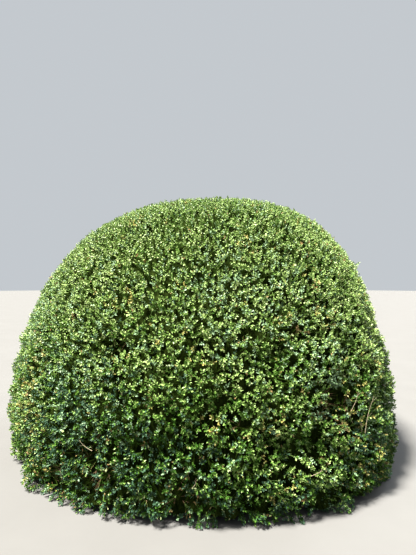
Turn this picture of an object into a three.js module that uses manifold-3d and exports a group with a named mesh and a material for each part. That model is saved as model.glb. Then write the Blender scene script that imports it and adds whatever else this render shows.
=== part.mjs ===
// Box topiary ball: an old box shrub rooted in the ground and clipped to a broad low ball.
// A short stem with a root flare stands hidden inside. Seven boughs rise from its head, and each
// carries one mass of the clipped crown: six side by side round the foot, and one on top.
// Millimetres, +Z up, front towards -Y. The origin is the middle of the stem's cut at ground level.
import * as THREE from "three";
import { mergeVertices } from "three/addons/utils/BufferGeometryUtils.js";
import Module from "manifold-3d";

const wasm = await Module();
wasm.setup();

const degree = Math.PI / 180;
const touchGap = 0.3; // between pieces that meet

// Clipped outline of the crown
const crownRadius = 1835; // at the widest line
const widestHeight = 455; // of the widest line above the ground
const crownRise = 1885; // from the widest line to the top
const sideExponent = 2.94; // the larger, the steeper the flanks
const topExponent = 1.65; // the smaller, the more pointed the top
const apexLean = 135; // the top stands this far to the right of the foot
const bulgeSpread = 20 * degree; // how far a bulge or a hollow reaches on each side
const bulges = [
  { azimuth: -95, elevation: 40, rise: 46 }, // left shoulder, full
  { azimuth: -95, elevation: 12, rise: 24 }, // left flank
  { azimuth: -35, elevation: -14, rise: 21 }, // front left foot
  { azimuth: 38, elevation: -14, rise: 83 }, // front right foot, spreads the most
  { azimuth: 75, elevation: -12, rise: 25 }, // right foot
  { azimuth: 92, elevation: 10, rise: -32 }, // right flank, cut back
  { azimuth: 95, elevation: 38, rise: -29 }, // right shoulder, cut back
  { azimuth: 150, elevation: 30, rise: 30 }, // back right shoulder
  { azimuth: 180, elevation: 5, rise: -22 }, // back
  { azimuth: -145, elevation: -8, rise: 34 }, // back left foot
];

// Masses of the crown: six sides, numbered from the front towards the right, and the top
const sideCount = 6;
const topMass = sideCount;
const topAngle = 41 * degree; // from the vertical to the edge of the top mass
const topSides = 30; // straight edges round the top mass
const seam = 2; // free width between two masses
const edgeMargin = 4; // leaves keep this far inside the edges of their mass
const twigMargin = 32; // twigs keep this far inside them
const groundClearance = 8; // the lowest leaves hang this far above the ground

// Dense twiggy core of each mass, under its leaves
const coreDepth = 52; // from the clipped outline to the core, on average
const tuftRise = 22; // the core swells and dips up to this much from tuft to tuft
const tuftsAcross = 31; // the larger, the smaller the tufts
const coreThickness = 330;
const coreDetail = 7; // fineness of the core's outer wall
const hollowDetail = 2; // fineness of its inner wall
const rimHeight = 35; // from the ground to the core's lower edge

// Shoots, and the leaves on them, each of which stands for a spray of small ones
const shootCount = 146; // on the whole crown
const leafLayer = 42; // leaves lie no deeper than this under the clipped outline
const shootTipDepth = 12; // from the clipped outline to the tip of a twig
const shootOutward = 3; // the larger, the squarer a shoot stands on the outline
const twigFootRadius = 20;
const twigTipRadius = 14;
const twigRoot = 70; // length of a twig that is sunk in the core
const leavesPerShoot = 3; // one through each side of the twig
const leafSpacing = 8; // along the twig, from its tip
const leafLength = 225;
const leafWidth = 140;
const leafThickness = 8;
const leafWidest = 0.44; // share of the length where a leaf is widest
const leafDroop = 10; // the tip bends down this far
const leafAngle = 86 * degree; // between the twig and the leaf nearest to its tip
const leafAngleStep = 3 * degree; // each leaf further from the tip stands up this much more
const leafTries = 9; // turns that are tried to keep a leaf inside its mass's space
const leafTryTurn = 18 * degree;
const leafTryFlatter = 1.5 * degree;

// Stem
const stemRadius = 118; // at mid height
const stemSides = 20;
const stemSteps = 6;
const stemTaper = 0.12; // share of the radius lost from the ground to the head
const headCentre = new THREE.Vector3(34, 22, 335); // the stem leans this way
const headRadius = 152;
const headReach = 130; // from the middle of the head to the flats that carry the boughs
const flareWidth = 92; // added to the radius at the ground
const flareHeight = 75;
const rootRidges = 5;
const ridgeWidth = 26; // how far the ridges stand out at the ground

// Boughs, and the limbs of the masses that go on from them
const boughFootRadius = 50;
const boughSides = 7;
const boughSteps = 6;
const boughTipRadius = 34;
const boughElevation = 35 * degree; // of a side bough where it leaves the head
const massElevation = 21 * degree; // of the middle of a side mass, from the crown's middle
const boughTipDepth = 860; // from the clipped outline
const massStemLength = 180; // from the bough to the first fork
const boughBend = 55; // sideways
const limbSides = 5;
const limbThinning = 0.78; // the limbs of each fork are this much thinner
const forkShare = 0.37; // a limb covers this share of the way to the tips that it serves
const shootsPerLimb = 3; // the last limbs carry at most this many shoots

const crownCentre = new THREE.Vector3(0, 0, widestHeight);
const sideTurn = (2 * Math.PI) / sideCount;
const goldenAngle = Math.PI * (3 - Math.sqrt(5));
const up = new THREE.Vector3(0, 0, 1);

// A repeatable stream of numbers from 0 to 1.
function seededRandom(seed) {
  let state = seed;
  return () => {
    state = (state + 0x6d2b79f5) | 0;
    let mixed = Math.imul(state ^ (state >>> 15), 1 | state);
    mixed = (mixed + Math.imul(mixed ^ (mixed >>> 7), 61 | mixed)) ^ mixed;
    return ((mixed ^ (mixed >>> 14)) >>> 0) / 2 ** 32;
  };
}

// Azimuth 0 is the front and 90 degrees the right side.
function directionOf(azimuth, elevation) {
  const level = Math.cos(elevation);
  const x = Math.sin(azimuth) * level;
  const y = -Math.cos(azimuth) * level;
  return new THREE.Vector3(x, y, Math.sin(elevation));
}

// How far the plain outline stands from the crown's middle, before bulges and lean.
function plainReach(direction) {
  if (direction.z <= 0) return crownRadius;
  const level = Math.hypot(direction.x, direction.y) / crownRadius;
  const rise = direction.z / crownRise;
  let inside = crownRadius / 2;
  let outside = crownRadius * 2;
  while (outside - inside > 0.01) {
    const reach = (inside + outside) / 2;
    const filled = (reach * level) ** sideExponent + (reach * rise) ** topExponent;
    if (filled < 1) inside = reach;
    else outside = reach;
  }
  return inside;
}

function outlineReach(direction) {
  let reach = plainReach(direction);
  for (const { azimuth, elevation, rise } of bulges) {
    const middle = directionOf(azimuth * degree, elevation * degree);
    reach += rise * Math.exp(-((direction.angleTo(middle) / bulgeSpread) ** 2));
  }
  return reach;
}

function leanAt(rise) {
  return apexLean * (Math.max(0, rise) / crownRise) ** 2;
}

// The point at a depth under the clipped outline, seen from the crown's middle.
function crownPoint(direction, depth) {
  const point = direction.clone().multiplyScalar(outlineReach(direction) - depth);
  point.x += leanAt(point.z);
  return point.add(crownCentre);
}

function depthOf(point) {
  const spoke = point.clone().sub(crownCentre);
  spoke.x -= leanAt(spoke.z);
  const distance = spoke.length();
  return outlineReach(spoke.normalize()) - distance;
}

// How far a point lies inside the edges of a mass. It is negative outside them.
function insideEdges(point, mass) {
  const spoke = point.clone().sub(crownCentre);
  const underTop = spoke.length() * Math.sin(spoke.angleTo(up) - topAngle);
  if (mass === topMass) return -underTop;
  spoke.applyAxisAngle(up, -mass * sideTurn);
  const offMiddle = Math.abs(Math.atan2(spoke.x, -spoke.y));
  const fromSides = Math.hypot(spoke.x, spoke.y) * Math.sin(sideTurn / 2 - offMiddle);
  return Math.min(fromSides, underTop);
}

// Whether a point lies in the leafy layer of a mass and inside its edges.
function isInLeafLayer(point, mass) {
  const depth = depthOf(point);
  if (depth < 0 || depth > leafLayer || point.z < groundClearance) return false;
  return insideEdges(point, mass) > edgeMargin;
}

function solidOf(geometry) {
  const bare = geometry.clone();
  bare.deleteAttribute("normal");
  bare.deleteAttribute("uv");
  const merged = mergeVertices(bare, 1e-3);
  return new wasm.Manifold(
    new wasm.Mesh({
      numProp: 3,
      vertProperties: new Float32Array(merged.attributes.position.array),
      triVerts: new Uint32Array(merged.index.array),
    }),
  );
}

function geometryOf(solid) {
  const { vertProperties, triVerts } = solid.getMesh();
  const geometry = new THREE.BufferGeometry();
  geometry.setAttribute("position", new THREE.BufferAttribute(vertProperties, 3));
  geometry.setIndex(new THREE.BufferAttribute(triVerts, 1));
  geometry.computeVertexNormals();
  return geometry;
}

function verticesOf(geometry) {
  const positions = geometry.attributes.position;
  const vertices = [];
  for (let i = 0; i < positions.count; i++) {
    vertices.push(new THREE.Vector3().fromBufferAttribute(positions, i));
  }
  return vertices;
}

function moveVertices(geometry, place) {
  verticesOf(geometry).forEach((vertex, i) => {
    geometry.attributes.position.setXYZ(i, ...place(vertex));
  });
  return geometry;
}

// A limb along a curve, with flat ends square to it. It bows sideways between its ends.
function curvedLimb(curve, bow, sides, steps, radiusAt) {
  const frames = curve.computeFrenetFrames(steps);
  const limb = new THREE.CylinderGeometry(1, 1, 1, sides, steps);
  return moveVertices(limb, (vertex) => {
    const share = vertex.y + 0.5;
    const step = Math.round(share * steps);
    const radius = radiusAt(share, Math.atan2(vertex.z, vertex.x));
    return curve
      .getPointAt(share)
      .addScaledVector(bow, Math.sin(Math.PI * share) ** 2)
      .addScaledVector(frames.normals[step], vertex.x * radius)
      .addScaledVector(frames.binormals[step], -vertex.z * radius);
  });
}

function straightLimb(foot, tip, footRadius, tipRadius, sides) {
  const along = tip.clone().sub(foot);
  const limb = new THREE.CylinderGeometry(tipRadius, footRadius, along.length(), sides);
  const turn = new THREE.Quaternion();
  turn.setFromUnitVectors(new THREE.Vector3(0, 1, 0), along.normalize());
  limb.applyQuaternion(turn);
  limb.translate(...foot.clone().lerp(tip, 0.5));
  return limb;
}

// A leaf of eight faces, from its foot along a direction, with its upper face towards the light.
function leafShape(foot, along, light) {
  const leaf = new THREE.OctahedronGeometry(1);
  moveVertices(leaf, (corner) => {
    const share = corner.x === 0 ? leafWidest : (corner.x + 1) / 2;
    const droop = corner.x > 0 ? leafDroop : 0;
    return [
      leafLength * share,
      (leafWidth / 2) * corner.y,
      (leafThickness / 2) * corner.z - droop,
    ];
  });
  const side = light.clone().cross(along).normalize();
  const face = along.clone().cross(side);
  const frame = new THREE.Matrix4().makeBasis(along, side, face).setPosition(foot);
  return leaf.applyMatrix4(frame);
}

// Swellings and dips of the clipped tufts, from -1 to 1.
function tuftAt(direction) {
  const { x, y, z } = direction.clone().multiplyScalar(tuftsAcross);
  return (Math.sin(x + y) + Math.sin(y + z) + Math.sin(z - x)) / 3;
}

// The whole crown at a depth under its outline, as one ball that also runs below the ground.
function crownBall(depth, rise, detail) {
  const ball = new THREE.IcosahedronGeometry(1, detail);
  return solidOf(
    moveVertices(ball, (vertex) => crownPoint(vertex.normalize(), depth - rise * tuftAt(vertex))),
  );
}

// Cone over the crown's middle that holds the top mass. Widened, it is cut from the side masses.
function topSpace(widening) {
  const height = 2 * crownRise;
  const cone = new THREE.ConeGeometry(height * Math.tan(topAngle), height, topSides);
  cone.rotateX(-Math.PI / 2);
  cone.translate(0, 0, widestHeight + height / 2 - widening / Math.sin(topAngle));
  return solidOf(cone);
}

// Upright wedge that holds a side mass, half a seam inside its two edges.
function sideSpace(mass) {
  const far = 2 * crownRadius;
  const halfWidth = far * Math.tan(sideTurn / 2);
  const outline = new THREE.Shape();
  outline.moveTo(0, 0);
  outline.lineTo(-halfWidth, -far);
  outline.lineTo(halfWidth, -far);
  outline.closePath();
  const wedge = new THREE.ExtrudeGeometry(outline, { depth: far, bevelEnabled: false });
  wedge.translate(0, -seam / 2 / Math.sin(sideTurn / 2), 0);
  wedge.rotateZ(mass * sideTurn);
  return solidOf(wedge);
}

const belowRim = new THREE.BoxGeometry(4 * crownRadius, 4 * crownRadius, 2 * crownRadius);
belowRim.translate(0, 0, rimHeight - crownRadius);
const coreShell = crownBall(coreDepth, tuftRise, coreDetail)
  .subtract(crownBall(coreDepth + coreThickness, 0, hollowDetail))
  .subtract(solidOf(belowRim));

function massCore(mass) {
  if (mass === topMass) return coreShell.intersect(topSpace(0));
  return coreShell.intersect(sideSpace(mass)).subtract(topSpace(seam));
}

// Twig tips stand evenly on the crown, on a golden spiral from the top down to the ground.
function spiralTips() {
  const lowest = (groundClearance - widestHeight) / crownRadius;
  const tips = [];
  for (let i = 0; i < shootCount; i++) {
    const height = 1 - ((i + 0.5) / shootCount) * (1 - lowest);
    const direction = directionOf(i * goldenAngle, Math.asin(height));
    tips.push(crownPoint(direction, shootTipDepth));
  }
  return tips;
}

function middleOf(points) {
  const sum = new THREE.Vector3();
  for (const point of points) sum.add(point);
  return sum.divideScalar(points.length);
}

// Two halves of the tips, to either side of the middle of their longest spread.
function halve(tips) {
  const spread = new THREE.Box3().setFromPoints(tips).getSize(new THREE.Vector3());
  const axis = ["x", "y", "z"].reduce((a, b) => (spread[a] < spread[b] ? b : a));
  const sorted = [...tips].sort((a, b) => a[axis] - b[axis]);
  const half = Math.ceil(sorted.length / 2);
  return [sorted.slice(0, half), sorted.slice(half)];
}

// The branching rule: a limb forks in two, one to each half of the tips that it serves, until
// few enough are left to each limb. From there each tip has a shoot of its own.
function branch(fork, tips, radius) {
  if (tips.length <= shootsPerLimb) {
    return { limbs: [], shoots: tips.map((tip) => ({ from: fork, tip })) };
  }
  const limbs = [];
  const shoots = [];
  for (const half of halve(tips)) {
    const next = fork.clone().lerp(middleOf(half), forkShare);
    const beyond = branch(next, half, radius * limbThinning);
    limbs.push({ foot: fork, tip: next, radius }, ...beyond.limbs);
    shoots.push(...beyond.shoots);
  }
  return { limbs, shoots };
}

// The leaf at a place on a shoot, turned round the twig and laid flatter until it lies in its
// mass's leafy layer, or no leaf at all. The shoot's frame has its tip as origin and +Y outwards.
function fittingLeaf(place, shootFrame, mass) {
  const foot = new THREE.Vector3(0, -leafSpacing * (place + 1), 0);
  const light = new THREE.Vector3(0, 1, 0);
  for (let i = 0; i < leafTries; i++) {
    const turned = (i % 2 ? -1 : 1) * Math.ceil(i / 2) * leafTryTurn;
    const turn = ((place + 0.5) / leavesPerShoot) * 2 * Math.PI + turned;
    const angle = leafAngle - leafAngleStep * place + leafTryFlatter * i;
    const along = new THREE.Vector3().setFromSphericalCoords(1, angle, turn);
    const leaf = leafShape(foot, along, light).applyMatrix4(shootFrame);
    if (verticesOf(leaf).every((corner) => isInLeafLayer(corner, mass))) return leaf;
  }
  return null;
}

// A shoot is a twig of as many sides as it has leaves, with one leaf through each side. A shoot
// that would leave its mass's space is left out.
function shootPieces({ from, tip }, mass, random) {
  const outward = tip.clone().sub(crownCentre).normalize();
  const along = tip.clone().sub(from).normalize();
  along.addScaledVector(outward, shootOutward).normalize();
  const twigLength = coreDepth - shootTipDepth + twigRoot;
  const foot = tip.clone().addScaledVector(along, -twigLength);
  if (foot.z < rimHeight + twigFootRadius || insideEdges(foot, mass) < twigMargin) return [];
  const across = new THREE.Vector3(-along.y, along.x, 0).normalize();
  across.applyAxisAngle(along, random() * Math.PI);
  const frame = new THREE.Matrix4();
  frame.makeBasis(across, along, across.clone().cross(along)).setPosition(tip);
  const twig = new THREE.CylinderGeometry(
    twigTipRadius,
    twigFootRadius,
    twigLength,
    leavesPerShoot,
  );
  const pieces = [twig.translate(0, -twigLength / 2, 0).applyMatrix4(frame)];
  for (let place = 0; place < leavesPerShoot; place++) {
    const leaf = fittingLeaf(place, frame, mass);
    if (leaf) pieces.push(leaf);
  }
  return pieces;
}

// Direction of the middle of a mass, from the crown's middle
function massDirection(mass) {
  if (mass === topMass) return crownPoint(up, 0).sub(crownCentre).normalize();
  return directionOf(mass * sideTurn, massElevation);
}

// One mass: the stem that goes on from its bough, the limbs that fork from it into the core, the
// core, and the shoots that stand out of it. Limbs that start inside the core are hidden there.
function crownMass(mass, tips) {
  const random = seededRandom(101 + mass);
  const along = massDirection(mass);
  const foot = crownPoint(along, boughTipDepth).addScaledVector(along, touchGap);
  const fork = foot.clone().addScaledVector(along, massStemLength);
  const ownTips = tips.filter((tip) => insideEdges(tip, mass) > edgeMargin);
  const { limbs, shoots } = branch(fork, ownTips, boughTipRadius);
  const pieces = [straightLimb(foot, fork, boughTipRadius, boughTipRadius, limbSides)];
  for (const { foot: limbFoot, tip, radius } of limbs) {
    if (depthOf(limbFoot) < coreDepth + coreThickness) continue;
    pieces.push(straightLimb(limbFoot, tip, radius, radius * limbThinning, limbSides));
  }
  for (const shoot of shoots) pieces.push(...shootPieces(shoot, mass, random));
  let solid = massCore(mass);
  for (const piece of pieces) solid = solid.add(solidOf(piece));
  return geometryOf(solid);
}

function boughDirection(mass) {
  return mass === topMass ? up.clone() : directionOf(mass * sideTurn, boughElevation);
}

// A bough leaves its flat on the stem's head square to it and ends at its mass's stem.
function bough(mass) {
  const start = boughDirection(mass);
  const end = massDirection(mass);
  const foot = headCentre.clone().addScaledVector(start, headReach + touchGap);
  const tip = crownPoint(end, boughTipDepth);
  const third = foot.distanceTo(tip) / 3;
  const curve = new THREE.CubicBezierCurve3(
    foot,
    foot.clone().addScaledVector(start, third),
    tip.clone().addScaledVector(end, -third),
    tip,
  );
  const bow = new THREE.Vector3(-end.y, end.x, 0).setLength(mass % 2 ? boughBend : -boughBend);
  const radiusAt = (share) => THREE.MathUtils.lerp(boughFootRadius, boughTipRadius, share);
  return geometryOf(solidOf(curvedLimb(curve, bow, boughSides, boughSteps, radiusAt)));
}

// Stem with its root flare and a head, which has one flat for each bough.
function stem() {
  const rise = headCentre.z;
  const curve = new THREE.QuadraticBezierCurve3(
    new THREE.Vector3(0, 0, 0),
    new THREE.Vector3(0, 0, rise / 2),
    headCentre,
  );
  const radiusAt = (share, turn) => {
    const taper = stemRadius * (1 + stemTaper * (0.5 - share));
    const flare = Math.exp((-share * rise) / flareHeight);
    return taper + flare * (flareWidth + ridgeWidth * Math.cos(rootRidges * turn));
  };
  const shaft = curvedLimb(curve, new THREE.Vector3(), stemSides, stemSteps, radiusAt);
  const ball = new THREE.IcosahedronGeometry(headRadius, 2).translate(...headCentre);
  let solid = solidOf(shaft).add(solidOf(ball));
  for (let mass = 0; mass <= topMass; mass++) {
    const direction = boughDirection(mass);
    const flat = headCentre.clone().addScaledVector(direction, headReach);
    const beyond = flat.clone().addScaledVector(direction, headRadius);
    solid = solid.subtract(solidOf(straightLimb(flat, beyond, headRadius, headRadius, stemSides)));
  }
  return geometryOf(solid);
}

const foliage = new THREE.MeshStandardMaterial({ color: 0x4a6b2c, roughness: 0.6, metalness: 0 });
const bark = new THREE.MeshStandardMaterial({ color: 0x7d6d58, roughness: 0.9, metalness: 0 });

const plant = new THREE.Group();

function addPiece(name, geometry, material) {
  const mesh = new THREE.Mesh(geometry, material);
  mesh.name = name;
  plant.add(mesh);
}

addPiece("stem", stem(), bark);
const tips = spiralTips();
for (let mass = 0; mass <= topMass; mass++) {
  const place = mass === topMass ? "top" : `side_${mass + 1}`;
  addPiece(`bough_${place}`, bough(mass), bark);
  addPiece(`crown_${place}`, crownMass(mass, tips), foliage);
}

export default plant;
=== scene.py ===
"""A clipped ball of box: stem, boughs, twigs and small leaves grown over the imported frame."""
import math

import bpy
import numpy as np
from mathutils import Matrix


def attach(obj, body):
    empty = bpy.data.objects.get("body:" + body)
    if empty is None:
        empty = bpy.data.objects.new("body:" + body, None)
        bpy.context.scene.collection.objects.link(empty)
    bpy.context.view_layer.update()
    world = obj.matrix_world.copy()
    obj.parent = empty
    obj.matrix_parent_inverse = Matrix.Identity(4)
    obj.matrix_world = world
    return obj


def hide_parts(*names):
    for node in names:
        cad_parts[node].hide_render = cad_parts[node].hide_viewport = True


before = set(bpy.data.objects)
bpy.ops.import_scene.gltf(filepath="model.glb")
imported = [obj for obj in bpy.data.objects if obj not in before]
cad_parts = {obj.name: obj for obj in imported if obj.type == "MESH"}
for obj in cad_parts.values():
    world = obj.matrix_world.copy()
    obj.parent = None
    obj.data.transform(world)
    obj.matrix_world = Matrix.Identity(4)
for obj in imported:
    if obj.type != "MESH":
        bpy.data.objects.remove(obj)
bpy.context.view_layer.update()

# Seeds of the random draws. Each mass of foliage adds its own number to the first
SEED = 2919
STREWING_SEED = SEED + 30
CLUMP_SEED = SEED + 40
CLUMP_TINT_SEED = SEED + 41
THICKET_SEED = SEED + 50
SEAM_SEED = SEED + 60
DEAD_TWIG_SEED = SEED + 70

# Camera, lamps and floor. The lens is in millimetres, the tilt in radians
LENS = 27
SENSOR = 36
EYE = (0.054, -4.360, 1.550)
UPWARD_TILT = 0.005
SURROUND_COLOUR = (0.81, 0.86, 0.91, 1)
SURROUND_STRENGTH = 0.68
LAMPS = (
    # name, azimuth, elevation, strength, softness, colour
    ("key", -60, 67, 26, 12, (1.0, 0.96, 0.88)),
    ("fill", 130, 40, 2.4, 30, (0.90, 0.95, 1.0)),
)
FLOOR_RADIUS = 60
FLOOR_SIDES = 180

# An irregular ripple: how many waves it adds up, and how far their lengths differ
RIPPLE_WAVES = 7
RIPPLE_SPREAD = (0.7, 1.4)

# Outline of the clipped crown. Here and below lengths are in metres and angles in degrees
CENTRE = np.array([0.0, 0.0, 0.455])
CROWN_RADIUS = 1.835
CROWN_RISE = 1.885
SIDE_EXPONENT = 2.94
TOP_EXPONENT = 1.65
REACH_HALVINGS = 40
APEX_LEAN = 0.135
BULGE_SPREAD = 20
BULGES = (
    # azimuth, elevation, rise
    (-95, 40, 0.046),
    (-95, 12, 0.024),
    (-35, -14, 0.021),
    (38, -14, 0.083),
    (75, -12, 0.025),
    (92, 10, -0.032),
    (95, 38, -0.029),
    (150, 30, 0.030),
    (180, 5, -0.022),
    (-145, -8, 0.034),
)

# Masses of foliage: six at the sides and one on top
SIDE_COUNT = 6
TOP_MASS = SIDE_COUNT
TOP_ANGLE = 41
SEAM_WANDER = 1.6
SEAM_WAVELENGTH = 0.25
MASS_NAMES = [f"side_{number}" for number in range(1, SIDE_COUNT + 1)] + ["top"]

# Stem and its head
HEAD_CENTRE = np.array([0.034, 0.022, 0.335])
HEAD_RADIUS = 0.152
HEAD_REACH = 0.130
STEM_RADIUS = 0.118
STEM_TAPER = 0.12
FLARE_WIDTH = 0.092
FLARE_HEIGHT = 0.075
ROOT_RIDGES = 5
RIDGE_WIDTH = 0.026
STEM_RINGS = 40
STEM_SIDES = 80
HEAD_RINGS = 24
HEAD_SIDES = 64

# Boughs, each with the straight stem of its mass
BOUGH_FOOT_RADIUS = 0.050
BOUGH_TIP_RADIUS = 0.034
BOUGH_ELEVATION = 35
MASS_ELEVATION = 21
BOUGH_TIP_DEPTH = 0.860
MASS_STEM_LENGTH = 0.180
BOUGH_BEND = 0.055
COLLAR_WIDTH = 0.030
COLLAR_FALL = 12
BOUGH_RINGS = 38
MASS_STEM_RINGS = 8
BOUGH_SIDES = 32

# Bark relief: furrows round the limb, their depth, and cracks along it
STEM_BARK = (17, 0.0095, 6)
HEAD_BARK = (15, 0.008, 5)
BOUGH_BARK = (8, 0.0048, 26)
FURROW_WIDTH = 0.42
FURROW_WANDER = (
    # how far, how often along the limb, start
    (1.1, 7, 0.0),
    (0.5, 17, 1.0),
)
FURROW_CROWDING = 0.5
CROWDING_TWIST = 4
CRACK_DEPTH = 0.6
SWELLING = 0.9
SWELLING_WAVES = 11
SWELLING_START = 0.7
SWELLING_TWIST = 5

# Branching, from the bough's tip out to the shoots
SHOOT_COUNT = 27800
SHOOT_STRAY = 0.006
SHOOT_LENGTH = 0.095
SHOOT_LENGTH_SPREAD = (0.85, 1.15)
SHOOT_RADIUS = 0.0022
SHOOT_UPWARD = 0.42
SHOOT_WANDER = 0.50
LEAST_OUTWARD = 0.80
SPRAY_SIZE = 5
FORK_SHARE = 0.215
FORK_SKEW = 0.35
FORK_BALANCE = (0.36, 0.64)
LIMB_THINNING = 0.78
THICK_LIMB_RADIUS = 0.012
THICK_LIMB_SIDES = 8
TWIG_SIDES = 3
CAP_RISE = 0.5

# Relief of the clipped surface, calmer on top than at the sides. Waves are (rise, wavelength)
TIP_DEPTH = 0.010
TIP_STRAY = 0.006
TIP_WAVES = ((0.006, 0.15), (0.006, 0.42))
CLUMP_COUNT = 700
CLUMP_WIDTH = 0.20
CLUMP_STRAY = 0.028
CLUMP_DEPTH = 0.016
TOP_RELIEF = 0.2
ADDED_SIDE_RELIEF = 1.6
CALM_HEIGHT = 0.75

# Sprays: shoots drawn together into a domed tuft. Some sprays stand back as gaps
GAP_SHARE = 0.035
ADDED_LOW_GAPS = 0.095
GAP_DROP = (0.022, 0.052)
SPRAY_STRAY = 0.007
TOP_LOOSENESS = 0.05
TUFT_DOME = 5.0
TUFT_PULL = (0.05, 0.28)

# The crown's foot
GROUND_GAP = 0.002
LOWEST_FORK = 0.030
LOWEST_TIP = 0.010
BURIED_TIP = -0.020
FOOT_HEIGHT = 0.40
FOOT_SPREAD = 0.022

# The shell of inner twigs. Waves are (rise, wavelength)
THICKET_COLUMNS = 150
THICKET_ROWS = 52
THICKET_LOWEST = -13
THICKET_CROWDING = 0.92
THICKET_DEPTH = 0.135
THICKET_WAVES = ((0.022, 0.22), (0.016, 0.09))
THICKET_HOLLOW_DEPTH = 0.8
THICKET_HOLLOW_WIDTH = 1.5
THICKET_FOOT = 0.070
THICKET_FOOT_HEIGHT = 0.20
THICKET_GAP = 0.012

# Leaves, in crossed pairs down from the tip of each shoot. The turn and the roll are in radians
PAIR_SIZES = (0.68, 0.90, 1.01, 1.06, 1.03)
PAIR_OF_LEAF = np.repeat(np.arange(len(PAIR_SIZES)), 2)
LEAVES = len(PAIR_OF_LEAF)
FULL_LEAVES = 4
FIRST_PAIR_DEPTH = 0.003
PAIR_SPACING = 0.0098
PAIR_SPACING_SPREAD = (0.85, 1.15)
LEAF_LENGTH = 0.0208
LEAF_WIDTH = 0.0106
LEAF_SIZE_SPREAD = (0.85, 1.15)
SHOOT_SIZE_SPREAD = (0.86, 1.16)
TOP_LEAF_CUT = 0.14
FIRST_LEAN = 30
LEAN_STEP = 9
LEAN_STRAY = 18
TURN_STRAY = 0.28
ROLL_STRAY = 0.60
FULL_OUTLINE = np.array([
    # sideways, along and up, for a leaf of length and width one
    [0.00, 0.00, 0.00],
    [-0.47, 0.34, 0.16],
    [-0.41, 0.76, 0.12],
    [0.00, 1.00, -0.08],
    [0.41, 0.76, 0.12],
    [0.47, 0.34, 0.16],
])
FULL_FACES = np.array([[0, 3, 2, 1], [0, 5, 4, 3]])
SIMPLE_OUTLINE = np.array([
    [0.00, 0.00, 0.00],
    [-0.53, 0.58, 0.16],
    [0.00, 1.00, -0.06],
    [0.53, 0.58, 0.16],
])
SIMPLE_FACES = np.array([[0, 3, 2, 1]])

# Dead twigs that lie against the leaves
DEAD_TWIG_RADIUS = 0.0017
DEAD_TWIG_TAPER = 0.6
DEAD_TWIG_STEPS = 5
DEAD_TWIG_SIDES = 4
DEAD_TWIG_LIFT = 0.004
DEAD_TWIG_UPRIGHT = 1.2
DEAD_TWIG_BOW = 0.16
DEAD_TWIG_SLANT = 0.02
DEAD_FORKS = (
    # joint of the twig, side
    (2, 1),
    (3, -1),
    (4, 1),
)
DEAD_FORK_SPREAD = (0.6, 1.1)
DEAD_FORK_LENGTH = (0.2, 0.4)
DEAD_FORK_OUTWARD = 0.2
DEAD_TWIGS = (
    # azimuth, elevation, length
    (-23.5, 1.0, 0.110),
    (-1.0, -4.5, 0.080),
    (24.0, -4.0, 0.120),
    (33.0, 5.5, 0.150),
    (36.0, 3.0, 0.120),
    (40.0, 4.5, 0.260),
    (35.5, 8.0, 0.140),
    (-30.0, -6.0, 0.090),
    (150.0, -2.0, 0.110),
    (-120.0, 6.0, 0.090),
)

# Places on the crown, as azimuth, elevation and size where nothing else is said
BARE_SHARE = 0.88
HOLLOWS = (
    # azimuth, elevation, size, depth
    (-21, 21, 2.2, 0.10),
    (-34, -9, 3.4, 0.060),
    (-23, -7, 4.2, 0.055),
    (-3, -9, 3.5, 0.055),
    (-24, 0, 2.0, 0.06),
    (32, 8, 2.8, 0.10),
    (36, 3, 2.4, 0.08),
    (8, 6, 1.8, 0.07),
    (23, 24, 1.6, 0.05),
    (-75, 5, 2.4, 0.08),
    (110, -6, 3.5, 0.08),
    (160, 12, 2.4, 0.08),
    (-150, -7, 3.5, 0.08),
)
SPRIG_SIZE = 1.3
SPRIGS = (
    # azimuth, elevation, how far they stand out of the clipped surface
    (63, 40, 0.080),
    (-38, -3, 0.040),
    (12, 9, 0.035),
    (128, 33, 0.035),
    (-160, 20, 0.030),
)
# Lighter tufts: partly young yellow-green growth, partly painted sunlight on the lower front of the
# crown.
BRIGHT_TUFTS_AND_PAINTED_SUN = (
    (-51, 44, 2.0),
    (-30, 36, 1.6),
    (-5, 50, 2.2),
    (41, 53, 3.0),
    (51, 46, 3.0),
    (27, -6, 4.0),
    (20, -3, 3.0),
    (15, 4, 2.5),
    (3, 21, 4.0),
    (10, 16, 4.0),
    (50, 17, 4.0),
    (-43, 5, 7.0),
)
PALE_TUFTS = (
    (-27, 42, 1.8),
    (-17, 32, 0.9),
    (-1, 36, 0.9),
)
# Painted reflection: patches of bluish leaves that stand for the sky's gleam on glossy leaves.
SKY_REFLECTION_PATCHES = (
    (-62, 24, 14.0),
    (-28, 12, 12.0),
    (8, 34, 12.0),
    (30, 15, 9.0),
    (95, 20, 14.0),
    (170, 28, 14.0),
)
# Painted shade: patches of darker, bluer leaves, mostly low on the crown.
PAINTED_SHADE_PATCHES = (
    (-32, -2, 17.0),
    (-8, -10, 16.0),
    (43, -5, 10.0),
    (20, -17, 12.0),
    (85, -6, 16.0),
    (130, -10, 18.0),
    (178, -4, 17.0),
    (-130, -9, 18.0),
    (-85, -12, 14.0),
)
BRONZE_PATCHES = (
    (-49, 15, 7.0),
    (-46, 4, 8.0),
    (-42, -6, 6.0),
    (38, 5, 7.0),
    (41, -6, 6.0),
    (41, -5, 4.0),
    (140, 0, 8.0),
    (-110, 12, 8.0),
)

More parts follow.
